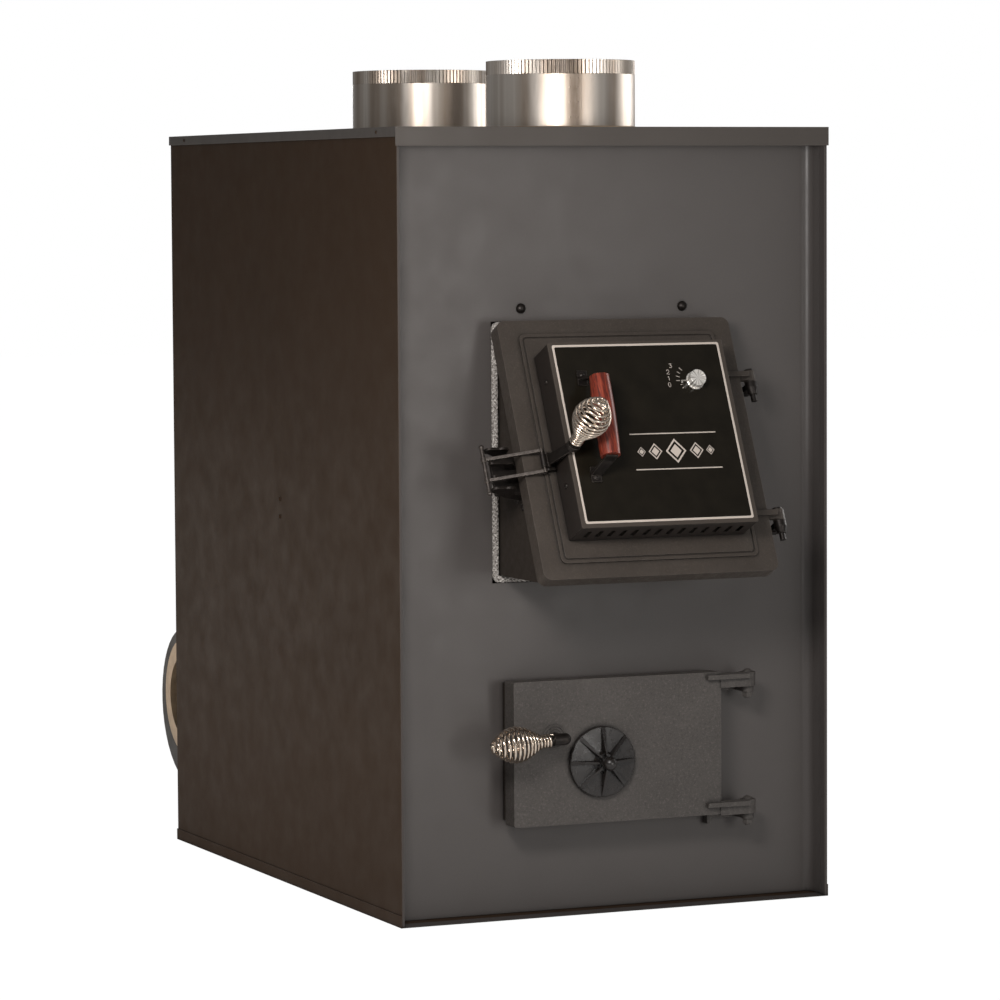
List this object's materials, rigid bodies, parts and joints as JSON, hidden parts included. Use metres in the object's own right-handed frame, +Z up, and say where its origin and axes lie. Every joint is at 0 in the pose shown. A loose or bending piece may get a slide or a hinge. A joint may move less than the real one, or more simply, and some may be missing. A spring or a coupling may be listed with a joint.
{
  "type": "coal furnace",
  "caption": "Warm-air coal furnace with a sloped feed door, ash door with spinner draft, duct collars on top and a rear blower",
  "frame": {"origin": "centre of the cabinet's footprint, on the floor", "axes": "+Z up, the front faces -Y, +X to the right seen from the front"},
  "size_m": [0.637, 1.3556, 1.144],
  "materials": {
    "side_paint": "satin",
    "front_paint": "satin",
    "cap_paint": "satin",
    "galvanized": "galvanized sheet",
    "plate_steel": "matte",
    "rope_seal": "braided",
    "firebrick": "matte",
    "cast_iron_black": "satin paint over a casting",
    "cast_iron_ash": "rough painted casting",
    "dark_hardware": "satin",
    "rod_steel": "worn black",
    "spinner_black": "semi-gloss",
    "nickel_wire": "bright nickel",
    "black_sheet": "satin",
    "black_gloss": "gloss",
    "spun_aluminium": "spun face",
    "wood_red": "oiled hardwood",
    "inlet_tan": "zinc chromate",
    "wheel_zinc": "galvanized",
    "bimetal": "plain strip"
  },
  "bodies": {
    "root": {"base_pan": "side_paint", "left_side_panel": "side_paint", "right_side_panel": "side_paint", "front_panel": "front_paint", "back_panel": "side_paint", "top_cap": "cap_paint", "front_duct_collar": "galvanized", "rear_duct_collar": "galvanized", "firebox_stand": "plate_steel", "firebox_shell": "plate_steel", "feed_chute": "plate_steel", "chute_rope": "rope_seal", "ash_throat": "plate_steel", "flue_collar": "plate_steel", "side_firebricks": "firebrick", "end_firebricks": "firebrick", "grate_frame": "cast_iron_black", "baffle_plate": "plate_steel", "front_panel_bolts": "dark_hardware", "cabinet_screws": "side_paint", "chute_bolts": "dark_hardware", "latch_catch": "dark_hardware", "feed_hinge_lugs": "dark_hardware", "feed_hinge_pins": "dark_hardware", "ash_hinge_lugs": "cast_iron_ash", "ash_hinge_pins": "cast_iron_ash", "ash_hinge_nuts": "cast_iron_ash", "ash_door_keeper": "dark_hardware", "blower_housing": "black_sheet", "blower_inlet_ring": "inlet_tan", "blower_motor": "black_sheet", "fan_control_box": "black_sheet"},
    "feed_door": {"feed_door_plate": "cast_iron_black", "feed_door_gasket": "rope_seal", "feed_door_shield": "plate_steel", "draft_box": "black_sheet", "draft_panel": "black_gloss", "draft_box_screws": "dark_hardware", "thermostat_coil": "bimetal", "wood_grip": "wood_red", "grip_brackets": "dark_hardware", "latch_bracket": "dark_hardware"},
    "latch_lever": {"latch_lever": "dark_hardware", "latch_coil_handle": "nickel_wire"},
    "latch_bail": {"latch_bail": "rod_steel"},
    "draft_knob": {"draft_knob": "spun_aluminium"},
    "draft_flap": {"draft_flap": "plate_steel"},
    "ash_door": {"ash_door_plate": "cast_iron_ash", "ash_door_gasket": "rope_seal", "spinner_stud": "dark_hardware"},
    "ash_latch": {"ash_latch_shaft": "dark_hardware", "ash_coil_handle": "nickel_wire"},
    "spinner": {"spinner_wheel": "spinner_black"},
    "ash_pan": {"ash_pan": "wheel_zinc"},
    "grate_bar_1": {"grate_bar_1": "cast_iron_black"},
    "grate_bar_2": {"grate_bar_2": "cast_iron_black"},
    "grate_bar_3": {"grate_bar_3": "cast_iron_black"},
    "grate_bar_4": {"grate_bar_4": "cast_iron_black"},
    "grate_tie_bar": {"grate_tie_bar": "cast_iron_black"},
    "blower_wheel": {"blower_wheel": "wheel_zinc"}
  },
  "joints": [
    {"name": "feed_door_hinge", "type": "hinge", "parent": "root", "child": "feed_door", "pos_m": [0.191, -0.48622, 0.65538], "axis": [0, 0.4226, 0.9063], "range_deg": [0, 105]},
    {"name": "latch_lever_pivot", "type": "hinge", "parent": "feed_door", "child": "latch_lever", "pos_m": [-0.139, -0.52759, 0.61399], "axis": [0, 0.4226, 0.9063], "range_deg": [-50, 0]},
    {"name": "latch_bail_pivot", "type": "hinge", "parent": "latch_lever", "child": "latch_bail", "pos_m": [-0.147, -0.53303, 0.61652], "axis": [0, 0.4226, 0.9063], "range_deg": [0, 88]},
    {"name": "draft_knob_turn", "type": "hinge", "parent": "feed_door", "child": "draft_knob", "pos_m": [0.0755, -0.52656, 0.71557], "axis": [0, 0.9063, -0.4226], "range_deg": [0, 50]},
    {"name": "draft_flap_hinge", "type": "hinge", "parent": "feed_door", "child": "draft_flap", "pos_m": [0, -0.50489, 0.65747], "axis": [-1, 0, 0], "range_deg": [0, 25]},
    {"name": "ash_door_hinge", "type": "hinge", "parent": "root", "child": "ash_door", "pos_m": [0.198, -0.436, 0.22], "axis": [0, 0, 1], "range_deg": [0, 110]},
    {"name": "ash_latch_turn", "type": "hinge", "parent": "ash_door", "child": "ash_latch", "pos_m": [-0.095, -0.45, 0.242], "axis": [0, -1, 0], "range_deg": [0, 75]},
    {"name": "spinner_turn", "type": "hinge", "parent": "ash_door", "child": "spinner", "pos_m": [-0.0265, -0.45, 0.2055], "axis": [0, -1, 0], "range_deg": [0, 540]},
    {"name": "ash_pan_slide", "type": "slide", "parent": "root", "child": "ash_pan", "axis": [0, -1, 0], "range_m": [0, 0.245]},
    {"name": "grate_bar_1_rock", "type": "hinge", "parent": "root", "child": "grate_bar_1", "pos_m": [0, -0.22665, 0.342], "axis": [1, 0, 0], "range_deg": [-25, 25]},
    {"name": "grate_bar_2_rock", "type": "hinge", "parent": "root", "child": "grate_bar_2", "pos_m": [0, -0.09055, 0.342], "axis": [1, 0, 0], "range_deg": [-25, 25]},
    {"name": "grate_bar_3_rock", "type": "hinge", "parent": "root", "child": "grate_bar_3", "pos_m": [0, 0.04555, 0.342], "axis": [1, 0, 0], "range_deg": [-25, 25]},
    {"name": "grate_bar_4_rock", "type": "hinge", "parent": "root", "child": "grate_bar_4", "pos_m": [0, 0.18165, 0.342], "axis": [1, 0, 0], "range_deg": [-25, 25]},
    {"name": "grate_tie_pivot", "type": "hinge", "parent": "grate_bar_1", "child": "grate_tie_bar", "pos_m": [0.043, -0.22665, 0.298], "axis": [1, 0, 0], "range_deg": [-25, 25]},
    {"name": "blower_spin", "type": "hinge", "parent": "root", "child": "blower_wheel", "pos_m": [-0.16, 0.59, 0.197], "axis": [1, 0, 0], "continuous": true}
  ],
  "couplings": [
    {"joint": "latch_bail_pivot", "follows": "latch_lever_pivot", "ratio": -1.75},
    {"joint": "draft_flap_hinge", "follows": "draft_knob_turn", "ratio": 0.5},
    {"joint": "ash_pan_slide", "follows": "ash_door_hinge", "m_per_rad": 0.125},
    {"joint": "grate_bar_2_rock", "follows": "grate_bar_1_rock", "ratio": 1},
    {"joint": "grate_bar_3_rock", "follows": "grate_bar_1_rock", "ratio": 1},
    {"joint": "grate_bar_4_rock", "follows": "grate_bar_1_rock", "ratio": 1},
    {"joint": "grate_tie_pivot", "follows": "grate_bar_1_rock", "ratio": -1}
  ]
}
